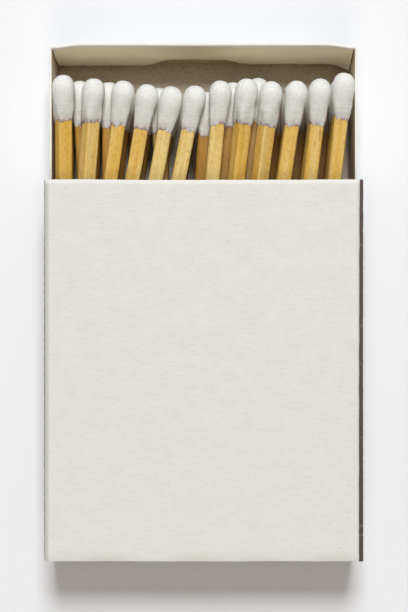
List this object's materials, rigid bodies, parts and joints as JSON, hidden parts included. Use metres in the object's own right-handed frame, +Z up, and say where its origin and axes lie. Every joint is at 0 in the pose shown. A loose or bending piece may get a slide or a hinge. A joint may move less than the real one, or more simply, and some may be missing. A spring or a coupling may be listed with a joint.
{
  "type": "matchbox",
  "caption": "Plain card matchbox: a folded sleeve with striking strips and a sliding folded tray, part open, filled with loose white-headed wooden matches.",
  "frame": {"origin": "centre of the sleeve's underside", "axes": "+X across the box, +Y along the slide towards the open end of the tray, +Z up out of the tray"},
  "size_m": [0.0448, 0.0727, 0.0141],
  "materials": {
    "sleeve_board": "uncoated off-white board, matte, faint fibre",
    "tray_board": "thin board, off-white outside, grey-brown inside, matte",
    "striking_coat": "gritty brown-grey striking coat, matte",
    "splint_wood": "waxed pale softwood, straight grain",
    "head_composition": "chalky white dipped composition, matte"
  },
  "bodies": {
    "sleeve": {"sleeve": "sleeve_board", "striker_right": "striking_coat", "striker_left": "striking_coat"},
    "tray": {"tray": "tray_board", "match_13": "splint_wood", "match_14": "splint_wood", "match_15": "splint_wood", "match_16": "splint_wood", "match_17": "splint_wood", "match_18": "splint_wood", "match_19": "splint_wood", "match_20": "splint_wood", "match_21": "splint_wood", "match_22": "splint_wood", "match_23": "splint_wood", "match_24": "splint_wood", "match_25": "splint_wood", "match_26": "splint_wood", "match_27": "splint_wood", "match_28": "splint_wood", "match_29": "splint_wood", "match_30": "splint_wood", "match_31": "splint_wood", "match_32": "splint_wood", "match_33": "splint_wood", "match_34": "splint_wood", "match_35": "splint_wood", "match_36": "splint_wood", "match_37": "splint_wood", "match_38": "splint_wood", "match_39": "splint_wood", "match_40": "splint_wood"},
    "match_01": {"match_01_splint": "splint_wood", "match_01_head": "head_composition"},
    "match_02": {"match_02_splint": "splint_wood", "match_02_head": "head_composition"},
    "match_03": {"match_03_splint": "splint_wood", "match_03_head": "head_composition"},
    "match_04": {"match_04_splint": "splint_wood", "match_04_head": "head_composition"},
    "match_05": {"match_05_splint": "splint_wood", "match_05_head": "head_composition"},
    "match_06": {"match_06_splint": "splint_wood", "match_06_head": "head_composition"},
    "match_07": {"match_07_splint": "splint_wood", "match_07_head": "head_composition"},
    "match_08": {"match_08_splint": "splint_wood", "match_08_head": "head_composition"},
    "match_09": {"match_09_splint": "splint_wood", "match_09_head": "head_composition"},
    "match_10": {"match_10_splint": "splint_wood", "match_10_head": "head_composition"},
    "match_11": {"match_11_splint": "splint_wood", "match_11_head": "head_composition"},
    "match_12": {"match_12_splint": "splint_wood", "match_12_head": "head_composition"}
  },
  "joints": [
    {"name": "tray_slide", "type": "slide", "parent": "sleeve", "child": "tray", "axis": [0, 1, 0], "range_m": [-0.071, 0.034]},
    {"name": "match_01_play", "type": "slide", "parent": "tray", "child": "match_01", "axis": [0, 0.9982, 0.0606], "range_m": [-0.0015, 0.0035]},
    {"name": "match_02_play", "type": "slide", "parent": "tray", "child": "match_02", "axis": [0.075, 0.9971, -0.0135], "range_m": [-0.005, 0.0035]},
    {"name": "match_03_play", "type": "slide", "parent": "tray", "child": "match_03", "axis": [0.1444, 0.9877, 0.0606], "range_m": [-0.0045, 0.004]},
    {"name": "match_04_play", "type": "slide", "parent": "tray", "child": "match_04", "axis": [0.1741, 0.9829, 0.0606], "range_m": [-0.00475, 0.00475]},
    {"name": "match_05_play", "type": "slide", "parent": "tray", "child": "match_05", "axis": [0.1891, 0.9801, 0.0606], "range_m": [-0.0045, 0.005]},
    {"name": "match_06_play", "type": "slide", "parent": "tray", "child": "match_06", "axis": [0.1977, 0.9784, 0.0606], "range_m": [-0.00475, 0.0035]},
    {"name": "match_07_play", "type": "slide", "parent": "tray", "child": "match_07", "axis": [0.0906, 0.994, 0.0606], "range_m": [-0.004, 0.00425]},
    {"name": "match_08_play", "type": "slide", "parent": "tray", "child": "match_08", "axis": [0.12, 0.9909, 0.0606], "range_m": [-0.00425, 0.004]},
    {"name": "match_09_play", "type": "slide", "parent": "tray", "child": "match_09", "axis": [0.1331, 0.9892, 0.0606], "range_m": [-0.005, 0.0045]},
    {"name": "match_10_play", "type": "slide", "parent": "tray", "child": "match_10", "axis": [0.1461, 0.9874, 0.0606], "range_m": [-0.005, 0.00325]},
    {"name": "match_11_play", "type": "slide", "parent": "tray", "child": "match_11", "axis": [0.1201, 0.9909, 0.0606], "range_m": [-0.00525, 0.0035]},
    {"name": "match_12_play", "type": "slide", "parent": "tray", "child": "match_12", "axis": [0.1028, 0.9929, 0.0606], "range_m": [-0.006, 0.0015]}
  ]
}
